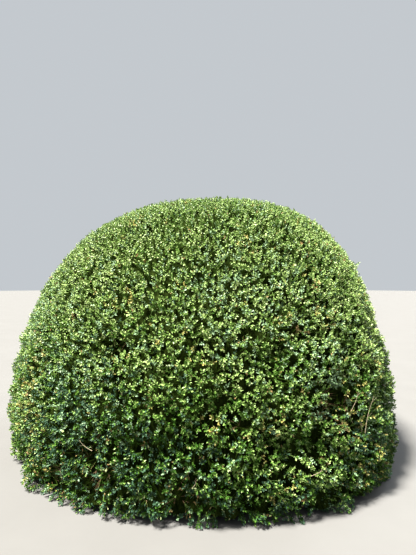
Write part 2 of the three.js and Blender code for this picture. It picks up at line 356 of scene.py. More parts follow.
# Leaf tints, from the darkest green to the lightest, then the rarer ones
TINTS = {
    "leaf_deep": (0.021, 0.063, 0.006),
    "leaf_shade": (0.056, 0.124, 0.017),
    "leaf_mid": (0.134, 0.220, 0.046),
    "leaf_fresh": (0.205, 0.300, 0.085),
    "leaf_tip": (0.276, 0.362, 0.130),
    "leaf_pale": (0.360, 0.425, 0.185),
    "leaf_bronze": (0.250, 0.225, 0.060),
    "leaf_dry": (0.185, 0.130, 0.052),
    # painted reflection of the sky on the gloss
    "leaf_painted_sky_reflection": (0.178, 0.282, 0.152),
    # painted shade: a dark, bluish green
    "leaf_painted_shade": (0.036, 0.078, 0.044),
}
TINT_NUMBERS = {tint: number for number, tint in enumerate(TINTS)}
LIGHTEST_GREEN = TINT_NUMBERS["leaf_tip"]
MATT_TINTS = ("leaf_deep", "leaf_shade", "leaf_dry", "leaf_painted_shade")
LEAF_ROUGHNESS = 0.46
LEAF_GLOSS = 0.36
MATT_LEAF_GLOSS = 0.1
RARE_TINTS = (
    # tint, its places, its share of the shoots in their middle and everywhere
    ("leaf_pale", PALE_TUFTS, 0.55, 0.002),
    ("leaf_bronze", BRONZE_PATCHES, 0.30, 0.012),
    ("leaf_dry", HOLLOWS, 0.30, 0.008),
    # Painted reflection: bluish leaves for the sky's gleam on the gloss.
    ("leaf_painted_sky_reflection", SKY_REFLECTION_PATCHES, 0.44, 0.09),
    # Painted shade: the darker, bluer leaves of the painted shade patches.
    ("leaf_painted_shade", PAINTED_SHADE_PATCHES, 0.62, 0.02),
)
RARE_LEAF_SHARE = 0.7
BRONZE_CLUMP_START = 1.3
BRONZE_CLUMP_SHARE = 0.35
# Single pale leaves: partly pale leaf undersides, partly painted highlights.
PALE_AND_GLINT_FLECKS = 0.015
DRY_FLECKS = 0.009

# Tone of the leaves, counted in tints from leaf_deep. Heights are those of unit directions
# Leaves lighter toward the top: partly younger growth on top, partly painted shade on the lower crown.
LOW_TONE = 1.28
TONE_RISE = 1.38
TONE_TOP = 0.72
# A lighter band of leaves round the crown's middle height: painted light.
PAINTED_LIGHT_BAND_TONE = 0.50
PAINTED_LIGHT_BAND_HEIGHT = 0.55
PAINTED_LIGHT_BAND_WIDTH = 0.26
BROAD_TONE = 0.34
BROAD_WAVELENGTH = 0.7
FINE_TONE = 0.18
FINE_WAVELENGTH = 0.14
SHOOT_TONE_STRAY = 0.30
CLUMP_TONE = 0.18
TOP_EVENNESS = 0.6
EVEN_FROM = 0.5
EVEN_SPAN = 0.35
# Painted shade: darker leaves on sprays that stand back and between clumps.
PAINTED_GAP_SHADE = 9.0
CLUMP_EDGE = 0.06
PAINTED_CLUMP_EDGE_SHADE = 4.0
# How much lighter the bright tufts are, partly young growth and partly painted sunlight.
BRIGHT_TUFT_AND_PAINTED_SUN_TONE = 1.1
# Painted shade: how much darker the leaves are in those patches.
PAINTED_SHADE_DARKENING = 0.6
TIP_PAIR_TONE = 0.75
PAIR_TONE_STEP = 0.36
LEAF_TONE_STRAY = 0.75

# Finishes of shoots and twigs
TWIG_FINISHES = (
    # name, colour, roughness, gloss
    ("shoot", (0.066, 0.124, 0.020), 0.6, 0.15),
    # The thin inner limbs, coloured near-black green as painted shade.
    ("twig", (0.016, 0.030, 0.004), 0.8, 0.0),
    ("bare_shoot", (0.170, 0.108, 0.062), 0.8, 0.1),
    ("dead_twig", (0.250, 0.208, 0.138), 0.8, 0.1),
)


# Camera and light

def place_camera():
    """A wide view from a standing adult's eye height, almost level and a little right of the middle."""
    lens = bpy.data.cameras.new("camera")
    lens.lens = LENS
    lens.sensor_width = SENSOR
    camera = bpy.data.objects.new("camera", lens)
    camera.location = EYE
    camera.rotation_euler = (math.radians(90) + UPWARD_TILT, 0, 0)
    bpy.context.scene.collection.objects.link(camera)
    bpy.context.scene.camera = camera


def add_lamp(name, azimuth, elevation, strength, softness, colour):
    """A broad distant lamp that shines in from a direction over the crown."""
    light = bpy.data.lights.new(name, "SUN")
    light.energy = strength
    light.angle = math.radians(softness)
    light.color = colour
    lamp = bpy.data.objects.new(name, light)
    lamp.rotation_euler = (math.radians(90 - elevation), 0, math.radians(azimuth))
    bpy.context.scene.collection.objects.link(lamp)


def light_studio():
    """A pale surround, a soft key from the upper left and a weak fill from behind on the right."""
    world = bpy.data.worlds.new("studio")
    world.use_nodes = True
    surround = world.node_tree.nodes["Background"]
    surround.inputs["Color"].default_value = SURROUND_COLOUR
    surround.inputs["Strength"].default_value = SURROUND_STRENGTH
    bpy.context.scene.world = world
    bpy.context.scene.view_settings.view_transform = "Standard"
    for lamp in LAMPS:
        add_lamp(*lamp)


# Directions and the clipped surface

def unit(vectors):
    """Each row scaled to a length of one."""
    return vectors / np.linalg.norm(vectors, axis=-1, keepdims=True)


def direction_of(azimuth, elevation):
    """Unit directions from degrees. Azimuth 0 faces the front, -Y, and 90 the right, +X."""
    turn = np.radians(azimuth)
    lift = np.radians(elevation)
    return np.stack([np.sin(turn) * np.cos(lift), -np.cos(turn) * np.cos(lift), np.sin(lift)], axis=-1)


def angle_between(directions, centre):
    """Angle in degrees from each direction to one centre."""
    return np.degrees(np.arccos(np.clip(directions @ centre, -1, 1)))


def nearness(directions, azimuth, elevation, size):
    """1 at a place on the crown, falling to 0 away from it."""
    away = angle_between(directions, direction_of(azimuth, elevation))
    return np.exp(-(away / size) ** 2)


def plain_reach(directions):
    """Distance from the crown's centre to its even outline: a ball below it and a dome above."""
    level = np.hypot(directions[:, 0], directions[:, 1])
    height = np.maximum(directions[:, 2], 0)
    near = np.zeros(len(directions))
    far = np.full(len(directions), 2 * (CROWN_RADIUS + CROWN_RISE))
    for _ in range(REACH_HALVINGS):
        middle = (near + far) / 2
        side = (middle * level / CROWN_RADIUS) ** SIDE_EXPONENT
        top = (middle * height / CROWN_RISE) ** TOP_EXPONENT
        inside = side + top < 1
        near = np.where(inside, middle, near)
        far = np.where(inside, far, middle)
    return np.where(directions[:, 2] <= 0, CROWN_RADIUS, near)


def outline_reach(directions):
    """The even outline with its broad bulges and dents."""
    reach = plain_reach(directions)
    for azimuth, elevation, rise in BULGES:
        reach = reach + rise * nearness(directions, azimuth, elevation, BULGE_SPREAD)
    return reach


def crown_points(directions, depth):
    """Points at a depth under the clipped surface, with the crown's slight lean."""
    points = directions * (outline_reach(directions) - depth)[:, None]
    lean = APEX_LEAN * (np.maximum(points[:, 2], 0) / CROWN_RISE) ** 2
    points[:, 0] += lean
    return points + CENTRE


def clipped_surface(directions):
    """Points on the clipped surface itself."""
    return crown_points(directions, np.zeros(len(directions)))


def ripple(points, wavelength, random):
    """A smooth irregular field over points in space, mostly between -1 and 1."""
    total = np.zeros(len(points))
    for _ in range(RIPPLE_WAVES):
        heading = unit(random.normal(size=3))
        length = wavelength * random.uniform(*RIPPLE_SPREAD)
        total += np.sin(points @ heading * (2 * math.pi / length) + random.uniform(0, 2 * math.pi))
    return total / math.sqrt(RIPPLE_WAVES)


def ripples(points, waves, random):
    """The sum of several ripples, each given as its rise and its wavelength."""
    return sum(rise * ripple(points, wavelength, random) for rise, wavelength in waves)


# Meshes

def add_piece(name, points, faces, materials, face_materials=None, smooth=False):
    """One object from arrays of points and of faces, which all have the same number of corners.

    face_materials gives each face's place in the list of materials.
    """
    mesh = bpy.data.meshes.new(name)
    count, corners = faces.shape
    mesh.vertices.add(len(points))
    mesh.vertices.foreach_set("co", points.astype(np.float32).ravel())
    mesh.loops.add(count * corners)
    mesh.loops.foreach_set("vertex_index", faces.astype(np.int32).ravel())
    mesh.polygons.add(count)
    mesh.polygons.foreach_set("loop_start", np.arange(0, count * corners, corners, dtype=np.int32))
    for material in materials:
        mesh.materials.append(material)
    if face_materials is not None:
        mesh.polygons.foreach_set("material_index", face_materials.astype(np.int32))
    mesh.polygons.foreach_set("use_smooth", np.full(count, smooth))
    mesh.update(calc_edges=True)
    piece = bpy.data.objects.new(name, mesh)
    bpy.context.scene.collection.objects.link(piece)
    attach(piece, "root")
    return piece


def join_parts(parts):
    """Joins (points, faces) pairs, whose faces have the same number of corners."""
    all_points = []
    all_faces = []
    start = 0
    for points, faces in parts:
        all_points.append(points)
        all_faces.append(faces + start)
        start += len(points)
    return np.concatenate(all_points), np.concatenate(all_faces)


def side_directions(along):
    """Two unit directions beside each row, square to it and to each other."""
    upright = np.abs(along[:, 2:]) > 0.9
    helper = np.where(upright, [[1.0, 0.0, 0.0]], [[0.0, 0.0, 1.0]])
    across = unit(np.cross(along, helper))
    return across, np.cross(across, along)


def rings_about(along, sides):
    """A ring of unit directions about each row."""
    across, beside = side_directions(along)
    turn = np.arange(sides) * (2 * math.pi / sides)
    return across[:, None] * np.cos(turn)[:, None] + beside[:, None] * np.sin(turn)[:, None]


def repeat_pattern(points, pattern):
    """The faces of one tube or shoot, repeated for each row of points. Gives flat points and faces."""
    starts = np.arange(len(points)) * points.shape[1]
    faces = pattern[None] + starts[:, None, None]
    return points.reshape(-1, 3), faces.reshape(-1, 3)


def straight_tubes(starts, ends, start_radii, end_radii, sides, capped=False):
    """Tapering tubes, one for each row, as triangles. A cap is a low cone over each end."""
    along = unit(ends - starts)
    ring = rings_about(along, sides)
    foot = starts[:, None] + ring * start_radii[:, None, None]
    head = ends[:, None] + ring * end_radii[:, None, None]
    here = np.arange(sides)
    following = (here + 1) % sides
    lower = np.stack([here, following, following + sides], axis=1)
    upper = np.stack([here, following + sides, here + sides], axis=1)
    rows = [foot, head]
    patterns = [lower, upper]
    if capped:
        rows.append((starts - along * start_radii[:, None] * CAP_RISE)[:, None])
        rows.append((ends + along * end_radii[:, None] * CAP_RISE)[:, None])
        low_cap = np.full(sides, 2 * sides)
        patterns.append(np.stack([following, here, low_cap], axis=1))
        patterns.append(np.stack([here + sides, following + sides, low_cap + 1], axis=1))
    return repeat_pattern(np.concatenate(rows, axis=1), np.concatenate(patterns))


def limb_tubes(limbs, sides, capped=False):
    """Tubes for rows of start point, end point, start radius and end radius."""
    starts, ends, start_radii, end_radii = np.split(limbs, (3, 6, 7), axis=1)
    return straight_tubes(starts, ends, start_radii[:, 0], end_radii[:, 0], sides, capped)


def spikes(starts, ends, radius):
    """Three-sided shoots that taper to a point, as triangles."""
    ring = rings_about(unit(ends - starts), 3)
    foot = starts[:, None] + ring * radius
    points = np.concatenate([foot, ends[:, None]], axis=1)
    return repeat_pattern(points, np.array([[0, 1, 3], [1, 2, 3], [2, 0, 3]]))


def barked_tube(line, radius_at, sides):
    """A closed tube along a line of points. radius_at(share, turn) is its distance from the line."""
    rings = len(line)
    along = unit(np.gradient(line, axis=0))
    across = np.array([1.0, 0.0, 0.0])
    turn = np.arange(sides) * (2 * math.pi / sides)
    points = []
    for number in range(rings):
        across = unit(across - along[number] * (across @ along[number]))
        beside = np.cross(along[number], across)
        radii = radius_at(number / (rings - 1), turn)
        ring = across * np.cos(turn)[:, None] + beside * np.sin(turn)[:, None]
        points.append(line[number] + ring * radii[:, None])
    points.append(line[[0, -1]])
    here = np.arange(sides)
    following = (here + 1) % sides
    faces = []
    for number in range(rings - 1):
        low = number * sides
        high = low + sides
        faces.append(np.stack([low + here, low + following, high + following], axis=1))
        faces.append(np.stack([low + here, high + following, high + here], axis=1))
    foot = rings * sides
    last = (rings - 1) * sides
    faces.append(np.stack([following, here, np.full(sides, foot)], axis=1))
    faces.append(np.stack([last + here, last + following, np.full(sides, foot + 1)], axis=1))
    return np.concatenate(points), np.concatenate(faces)


# Stem and boughs

def bark_relief(share, turn, furrows, depth, cracks):
    """Wandering furrows along a limb with staggered cracks across, and a few broad swellings."""
    wander = sum(far * math.sin(often * share + start) for far, often, start in FURROW_WANDER)
    around = furrows * turn + wander + FURROW_CROWDING * np.sin(2 * turn + CROWDING_TWIST * share)
    furrow = np.exp(-(np.sin(around / 2) / FURROW_WIDTH) ** 2)
    stagger = math.pi * (np.floor(around / (2 * math.pi)) % 2)
    crack = np.exp(-(np.sin(cracks * math.pi * share + stagger / 2) / FURROW_WIDTH) ** 2)
    swelling = math.sin(SWELLING_WAVES * share + SWELLING_START) * np.cos(turn - SWELLING_TWIST * share)
    return depth * (SWELLING * swelling - np.maximum(furrow, CRACK_DEPTH * crack))


def stem_tube():
    """The short leaning stem with its root flare."""
    def radius_at(share, turn):
        flare = math.exp(-share * HEAD_CENTRE[2] / FLARE_HEIGHT)
        ridged = FLARE_WIDTH + RIDGE_WIDTH * np.cos(ROOT_RIDGES * turn)
        plain = STEM_RADIUS * (1 + STEM_TAPER * (0.5 - share))
        neck = (HEAD_RADIUS - STEM_RADIUS) * share ** 3
        return plain + neck + flare * ridged + bark_relief(share, turn, *STEM_BARK)

    share = np.linspace(0, 1, STEM_RINGS)[:, None]
    half_way = np.array([0, 0, HEAD_CENTRE[2] / 2])
    line = 2 * share * (1 - share) * half_way + share ** 2 * HEAD_CENTRE
    return barked_tube(line, radius_at, STEM_SIDES)


def head_tube():
    """The round head that the boughs leave from."""
    def radius_at(share, turn):
        round_part = HEAD_RADIUS * math.sqrt(max(1 - (2 * share - 1) ** 2, 0.0))
        return round_part + bark_relief(share, turn, *HEAD_BARK) * math.sin(math.pi * share)

    rise = np.array([0, 0, HEAD_RADIUS])
    line = HEAD_CENTRE + (2 * np.linspace(0, 1, HEAD_RINGS)[:, None] - 1) * rise
    return barked_tube(line, radius_at, HEAD_SIDES)


def mass_direction(mass):
    """The direction in which a bough reaches its mass."""
    if mass == TOP_MASS:
        return unit(clipped_surface(np.array([[0.0, 0.0, 1.0]]))[0] - CENTRE)
    return direction_of(mass * 360 / SIDE_COUNT, MASS_ELEVATION)


def bough_line(mass):
    """A bough's middle line from the head to its mass, bowed a little to one side."""
    toward = mass_direction(mass)
    end = crown_points(toward[None], np.array([BOUGH_TIP_DEPTH]))[0]
    leaving = np.array([0.0, 0.0, 1.0])
    if mass != TOP_MASS:
        leaving = direction_of(mass * 360 / SIDE_COUNT, BOUGH_ELEVATION)
    start = HEAD_CENTRE + leaving * HEAD_REACH
    third = np.linalg.norm(end - start) / 3
    share = np.linspace(0, 1, BOUGH_RINGS)[:, None]
    line = (1 - share) ** 3 * start
    line = line + 3 * share * (1 - share) ** 2 * (start + leaving * third)
    line = line + 3 * share ** 2 * (1 - share) * (end - toward * third)
    line = line + share ** 3 * end
    sideways = np.array([-end[1], end[0], 0.0])
    side = 1 if mass % 2 else -1
    bow = side * BOUGH_BEND * np.sin(math.pi * share) ** 2
    return line + bow * sideways / max(np.linalg.norm(sideways), 1e-6)


def limb_line(mass):
    """The bough's line and on along the straight stem of its mass."""
    line = bough_line(mass)
    onward = np.linspace(0, MASS_STEM_LENGTH, MASS_STEM_RINGS)[1:, None] * mass_direction(mass)
    return np.concatenate([line, line[-1] + onward])


def bough_tube(mass):
    """One bough and the straight stem of its mass, as one tapering limb with bark."""
    def radius_at(share, turn):
        plain = BOUGH_FOOT_RADIUS + (BOUGH_TIP_RADIUS - BOUGH_FOOT_RADIUS) * share
        collar = COLLAR_WIDTH * math.exp(-share * COLLAR_FALL)
        return plain + collar + bark_relief(share, turn + mass, *BOUGH_BARK)

    return barked_tube(limb_line(mass), radius_at, BOUGH_SIDES)


def build_bark(thick_limbs, materials):
    """Stem, boughs and thick limbs as one piece with the bark's relief."""
    parts = [stem_tube(), head_tube()]
    nodes = ["stem"]
    for mass, name in enumerate(MASS_NAMES):
        parts.append(bough_tube(mass))
        nodes.append(f"bough_{name}")
    for limbs in thick_limbs:
        parts.append(limb_tubes(limbs, THICK_LIMB_SIDES, capped=True))
    points, faces = join_parts(parts)
    points[:, 2] = np.maximum(points[:, 2], 0)
    bark = add_piece("stem_and_boughs", points, faces, [materials["bark"]], smooth=True)
    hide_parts(*nodes)


# Branching

def spiral_directions(count):
    """Directions spread evenly over the crown in a spiral, down to the ground."""
    lowest = -CENTRE[2] / CROWN_RADIUS
    number = np.arange(count) + 0.5
    height = 1 - number / count * (1 - lowest)
    turn = number * math.pi * (3 - math.sqrt(5))
    level = np.sqrt(1 - height ** 2)
    return np.stack([level * np.cos(turn), level * np.sin(turn), height], axis=-1)


def shoot_directions():
    """The direction of every shoot: an even spiral, strewn a little."""
    stray = np.random.default_rng(STREWING_SEED).normal(0, SHOOT_STRAY, (SHOOT_COUNT, 3))
    return unit(spiral_directions(SHOOT_COUNT) + stray)


def mass_of(directions):
    """The number of the mass that each direction belongs to, with wandering seams."""
    random = np.random.default_rng(SEAM_SEED)
    azimuth = np.degrees(np.arctan2(directions[:, 0], -directions[:, 1]))
    azimuth = azimuth + SEAM_WANDER * ripple(directions, SEAM_WAVELENGTH, random)
    wedge = np.round(azimuth / (360 / SIDE_COUNT)).astype(int) % SIDE_COUNT
    from_top = angle_between(directions, mass_direction(TOP_MASS))
    from_top = from_top + SEAM_WANDER * ripple(directions, SEAM_WAVELENGTH, random)
    return np.where(from_top < TOP_ANGLE, TOP_MASS, wedge)


def split_in_two(points, random):
    """Two halves of some points, cut about the middle of their longest spread, a little askew."""
    offset = points - points.mean(axis=0)
    longest = np.linalg.eigh(offset.T @ offset)[1][:, -1]
    askew = unit(longest + FORK_SKEW * random.normal(size=3))
    order = np.argsort(points @ askew)
    cut = round(len(points) * random.uniform(*FORK_BALANCE))
    return order[:cut], order[cut:]


def spray_fork(tips, random):
    """Where the shoots of a spray part: under their middle, leaning up a little from straight out."""
    middle = tips.mean(axis=0)
    upward = np.array([0.0, 0.0, SHOOT_UPWARD * min(1.0, middle[2] / FOOT_HEIGHT)])
    outward = unit(middle - CENTRE)
    heading = unit(outward + upward + SHOOT_WANDER * random.normal(size=3))
    heading = unit(heading + outward * max(0.0, LEAST_OUTWARD - heading @ outward))
    fork = middle - heading * SHOOT_LENGTH * random.uniform(*SHOOT_LENGTH_SPREAD)
    fork[2] = max(fork[2], LOWEST_FORK)
    return fork


def branch(start, tips, random):
    """Forks in two from the bough's tip until each last limb serves one spray of shoots.

    A limb is a row of start, end, start radius and end radius. A spray is its fork and its shoots.
    """
    limbs = []
    sprays = []
    waiting = [(start, np.arange(len(tips)), BOUGH_TIP_RADIUS)]
    while waiting:
        fork, served, radius = waiting.pop()
        thinner = radius * LIMB_THINNING
        for part in split_in_two(tips[served], random):
            half = served[part]
            if len(half) > SPRAY_SIZE:
                following = fork + (tips[half].mean(axis=0) - fork) * FORK_SHARE
                waiting.append((following, half, thinner))
            else:
                following = spray_fork(tips[half], random)
                sprays.append((following, half))
            limbs.append((*fork, *following, radius, thinner))
    return np.array(limbs), sprays


def nearest_clumps(flat):
    """Each point's clump number, and its distance from the clump's middle."""
    random = np.random.default_rng(CLUMP_SEED)
    middles = spiral_directions(CLUMP_COUNT) + random.normal(0, CLUMP_STRAY, (CLUMP_COUNT, 3))
    middles = clipped_surface(unit(middles))
    away = np.linalg.norm(flat[:, None] - middles[None], axis=-1)
    return away.argmin(axis=1), away.min(axis=1)


def shoot_tips(directions, random):
    """Where the shoots end: near the clipped surface, deeper in the hollows and between clumps.

    Also gives each shoot's clump and its distance from the clump's middle.
    """
    flat = clipped_surface(directions)
    rough = TOP_RELIEF + ADDED_SIDE_RELIEF * np.clip(1 - directions[:, 2] / CALM_HEIGHT, 0, 1)
    relief = ripples(flat, TIP_WAVES, random)
    depth = TIP_DEPTH - rough * relief + random.normal(0, TIP_STRAY, len(directions))
    clump, away = nearest_clumps(flat)
    depth += rough * CLUMP_DEPTH * (2 * away / CLUMP_WIDTH) ** 2
    depth -= FOOT_SPREAD * np.clip(1 - flat[:, 2] / FOOT_HEIGHT, 0, 1)
    for azimuth, elevation, length in SPRIGS:
        depth -= length * nearness(directions, azimuth, elevation, SPRIG_SIZE)
    for azimuth, elevation, size, deep in HOLLOWS:
        depth += deep * nearness(directions, azimuth, elevation, size)
    return crown_points(directions, depth), clump, away


def gather_sprays(tips, sprays, directions, random):
    """Draws each spray's shoots together into a domed tuft.

    Gives the new tips, each shoot's fork, and how far its spray stands back.
    """
    tips = tips.copy()
    forks = np.zeros_like(tips)
    sunk = np.zeros(len(tips))
    for fork, served in sprays:
        middle = tips[served].mean(axis=0)
        lower = 1 - directions[served[0], 2]
        gap = random.random() < GAP_SHARE + ADDED_LOW_GAPS * min(lower, 1)
        drop = random.uniform(*GAP_DROP) if gap else random.normal(0, SPRAY_STRAY)
        away = np.linalg.norm(tips[served] - middle, axis=1)
        loose = TOP_LOOSENESS + (1 - TOP_LOOSENESS) * min(lower, 1)
        fall = drop + TUFT_DOME * loose * away ** 2
        pull = random.uniform(*TUFT_PULL) * loose
        tips[served] += (middle - tips[served]) * pull - directions[served] * fall[:, None]
        forks[served] = fork
        sunk[served] = drop
    return tips, forks, sunk


# Leaves

def leaf_frames(directions, tips, forks, random):
    """Roots, unit directions and sizes of the leaves, as (shoot, leaf, ...) arrays."""
    shoots = len(tips)
    opposite = np.tile([0.0, math.pi], len(PAIR_SIZES))
    axis = unit(tips - forks)
    across, beside = side_directions(axis)
    turn = random.uniform(0, 2 * math.pi, (shoots, 1)) + PAIR_OF_LEAF * (math.pi / 2) + opposite
    turn = turn + random.normal(0, TURN_STRAY, (shoots, LEAVES))
    stray = random.normal(0, LEAN_STRAY, (shoots, LEAVES))
    lean = np.radians(FIRST_LEAN + LEAN_STEP * PAIR_OF_LEAF + stray)
    outward = across[:, None] * np.cos(turn)[..., None] + beside[:, None] * np.sin(turn)[..., None]
    pointing = axis[:, None] * np.cos(lean)[..., None] + outward * np.sin(lean)[..., None]
    level_up = axis[:, None] * np.sin(lean)[..., None] - outward * np.cos(lean)[..., None]
    level_side = np.cross(pointing, level_up)
    roll = random.normal(0, ROLL_STRAY, (shoots, LEAVES, 1))
    sideways = level_side * np.cos(roll) + level_up * np.sin(roll)
    upward = level_up * np.cos(roll) - level_side * np.sin(roll)
    smaller = 1 - TOP_LEAF_CUT * np.clip(directions[:, 2:], 0, 1)
    size = np.repeat(PAIR_SIZES, 2) * smaller * random.uniform(*SHOOT_SIZE_SPREAD, (shoots, 1))
    size = size * random.uniform(*LEAF_SIZE_SPREAD, (shoots, LEAVES))
    spacing = PAIR_SPACING * random.uniform(*PAIR_SPACING_SPREAD, (shoots, 1))
    roots = tips[:, None] - axis[:, None] * (FIRST_PAIR_DEPTH + PAIR_OF_LEAF * spacing)[..., None]
    return roots, sideways, pointing, upward, size


def leaf_mesh(frames, outline, pattern):
    """Points and faces of the leaves. Those that reach the ground rest on it."""
    roots, sideways, pointing, upward, sizes = frames
    length = (LEAF_LENGTH * sizes)[..., None, None]
    width = (LEAF_WIDTH * sizes)[..., None, None]
    corners = roots[:, :, None] + sideways[:, :, None] * outline[:, 0:1] * width
    corners = corners + pointing[:, :, None] * outline[:, 1:2] * length
    corners = corners + upward[:, :, None] * outline[:, 2:3] * width
    lowest = corners[..., 2].min(axis=-1, keepdims=True)
    corners[..., 2] += np.maximum(GROUND_GAP - lowest, 0)
    starts = np.arange(sizes.size) * len(outline)
    faces = (pattern[None] + starts[:, None, None]).reshape(-1, 4)
    return corners.reshape(-1, 3), faces


def clump_leanings():
    """Two random numbers for each clump: toward light leaves, and toward bronze ones."""
    return np.random.default_rng(CLUMP_TINT_SEED).normal(0, 1, (CLUMP_COUNT, 2))


def shoot_tones(directions, tips, sunk, clump, away, random):
    """How light each shoot's leaves are: more toward the top, less in gaps and between clumps, where
    the darkening is painted shade.
    """
    height = directions[:, 2]
    varied = 1 - TOP_EVENNESS * np.clip((height - EVEN_FROM) / EVEN_SPAN, 0, 1)
    # Lighter toward the top: partly younger growth, partly painted shade lower down.
    tone = LOW_TONE + TONE_RISE * np.minimum(height, TONE_TOP)
    tone += varied * BROAD_TONE * ripple(tips, BROAD_WAVELENGTH, random)
    # Painted light: a lighter band of leaves at middle height.
    tone += PAINTED_LIGHT_BAND_TONE * np.exp(-((height - PAINTED_LIGHT_BAND_HEIGHT) / PAINTED_LIGHT_BAND_WIDTH) ** 2)
    mottle = FINE_TONE * ripple(tips, FINE_WAVELENGTH, random)
    mottle += random.normal(0, SHOOT_TONE_STRAY, len(tips))
    tone += varied * mottle
    # Painted shade: darker leaves on sunk sprays and between clumps.
    tone -= PAINTED_GAP_SHADE * np.maximum(sunk, 0) + PAINTED_CLUMP_EDGE_SHADE * np.maximum(away - CLUMP_EDGE, 0)
    tone += varied * CLUMP_TONE * clump_leanings()[clump, 0]
    # Lighter tufts: partly young growth, partly painted sunlight.
    for azimuth, elevation, size in BRIGHT_TUFTS_AND_PAINTED_SUN:
        tone += BRIGHT_TUFT_AND_PAINTED_SUN_TONE * nearness(directions, azimuth, elevation, size)
    # Painted shade: darker leaves in the patches low on the crown.
    for azimuth, elevation, size in PAINTED_SHADE_PATCHES:
        tone -= PAINTED_SHADE_DARKENING * nearness(directions, azimuth, elevation, size)
    return tone


def leaf_tints(tone, directions, clump, random):
    """A tint number for each leaf: lighter near a shoot's tip, with the rarer tints dealt by shoot."""
    shoots = len(tone)
    stray = random.normal(0, LEAF_TONE_STRAY, (shoots, LEAVES))
    leaf_tone = tone[:, None] + TIP_PAIR_TONE - PAIR_TONE_STEP * PAIR_OF_LEAF + stray
    tints = np.clip(np.round(leaf_tone), 0, LIGHTEST_GREEN).astype(int)
    bronzed = np.clip(clump_leanings()[clump, 1] - BRONZE_CLUMP_START, 0, 1) * BRONZE_CLUMP_SHARE
    for tint, places, strength, everywhere in RARE_TINTS:
        chance = np.full(shoots, everywhere)
        for place in places:
            chance += strength * nearness(directions, *place[:3])
        if tint == "leaf_bronze":
            chance += bronzed
        chosen = random.random(shoots) < chance
        taken = random.random((chosen.sum(), LEAVES)) < RARE_LEAF_SHARE
        tints[chosen] = np.where(taken, TINT_NUMBERS[tint], tints[chosen])
    # Pale flecks are partly pale undersides and partly painted highlights. Dry flecks are brown leaves.
    fleck = random.random((shoots, LEAVES))
    tints[fleck < PALE_AND_GLINT_FLECKS] = TINT_NUMBERS["leaf_pale"]
    tints[fleck > 1 - DRY_FLECKS] = TINT_NUMBERS["leaf_dry"]
    return tints


def bare_chance(directions):
    """The chance that a shoot has lost its leaves, highest in the hollows."""
    chance = np.zeros(len(directions))
    for azimuth, elevation, size, _ in HOLLOWS:
        chance += BARE_SHARE * nearness(directions, azimuth, elevation, size)
    return chance


# Pieces of the crown

def add_leaves(name, frames, tints, materials):
    """One mass's leaves as one piece, with a fuller outline near the shoots' tips."""
    kinds = (
        (slice(None, FULL_LEAVES), FULL_OUTLINE, FULL_FACES),
        (slice(FULL_LEAVES, None), SIMPLE_OUTLINE, SIMPLE_FACES),
    )
    parts = []
    face_tints = []
    for which, outline, pattern in kinds:
        parts.append(leaf_mesh([row[:, which] for row in frames], outline, pattern))
        face_tints.append(np.repeat(tints[:, which].ravel(), len(pattern)))
    points, faces = join_parts(parts)
    greens = [materials[tint] for tint in TINTS]
    leaves = add_piece(f"leaves_{name}", points, faces, greens, np.concatenate(face_tints))
    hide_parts(f"crown_{name}")


def add_twigs(name, limbs, forks, tips, leafy, materials):
    """One mass's thin limbs and its shoots as one piece. Shoots without leaves are brown."""
    branches = limb_tubes(limbs, TWIG_SIDES)
    shoots = spikes(forks, tips, SHOOT_RADIUS)
    points, faces = join_parts([branches, shoots])
    points[:, 2] = np.maximum(points[:, 2], GROUND_GAP)
    # The thin limbs' near-black green is painted shade.
    kinds = [materials["twig"], materials["shoot"], materials["bare_shoot"]]
    faces_of_shoot = len(shoots[1]) // len(tips)
    kinds_of_shoots = np.repeat(np.where(leafy, 1, 2), faces_of_shoot)
    face_kinds = np.concatenate([np.zeros(len(branches[1])), kinds_of_shoots])
    twigs = add_piece(f"twigs_{name}", points, faces, kinds, face_kinds)


def build_mass(mass, directions, materials):
    """The limbs, shoots and leaves of one mass. Gives back its thick limbs for the bark."""
    random = np.random.default_rng(SEED + mass)
    tips, clump, away = shoot_tips(directions, random)
    limbs, sprays = branch(limb_line(mass)[-1], tips, random)
    tips, forks, sunk = gather_sprays(tips, sprays, directions, random)
    above_ground = tips[:, 2] > BURIED_TIP
    rows = (directions, tips, forks, sunk, clump, away)
    directions, tips, forks, sunk, clump, away = (row[above_ground] for row in rows)
    tips[:, 2] = np.maximum(tips[:, 2], LOWEST_TIP)

    frames = leaf_frames(directions, tips, forks, random)
    tone = shoot_tones(directions, tips, sunk, clump, away, random)
    tints = leaf_tints(tone, directions, clump, random)
    leafy = random.random(len(tips)) > bare_chance(directions)
    thick = limbs[:, 6] > THICK_LIMB_RADIUS
    add_leaves(MASS_NAMES[mass], [row[leafy] for row in frames], tints[leafy], materials)
    add_twigs(MASS_NAMES[mass], limbs[~thick], forks, tips, leafy, materials)
    return limbs[thick]


def dead_twig_parts(middle, length, random):
    """One bowed dead twig and its three short forks."""
    outward = unit(middle - CENTRE)
    along = unit(np.cross(outward, random.normal(size=3)) + [0.0, 0.0, DEAD_TWIG_UPRIGHT])
    sideways = unit(np.cross(along, outward))
    share = np.linspace(-0.5, 0.5, DEAD_TWIG_STEPS + 1)[:, None]
    bow = random.uniform(-DEAD_TWIG_BOW, DEAD_TWIG_BOW) * length * np.cos(math.pi * share)
    line = middle + along * share * length + sideways * bow
    line = line - outward * (0.5 - share) * DEAD_TWIG_SLANT
    radii = DEAD_TWIG_RADIUS * (1 - DEAD_TWIG_TAPER * (share[:, 0] + 0.5))
    parts = [straight_tubes(line[:-1], line[1:], radii[:-1], radii[1:], DEAD_TWIG_SIDES, capped=True)]
    for joint, side in DEAD_FORKS:
        spread = side * random.uniform(*DEAD_FORK_SPREAD)
        aside = unit(along + spread * sideways + DEAD_FORK_OUTWARD * outward)
        end = line[joint] + aside * length * random.uniform(*DEAD_FORK_LENGTH)
        parts.append(spikes(line[[joint]], end[None], DEAD_TWIG_RADIUS / 2))
    return parts


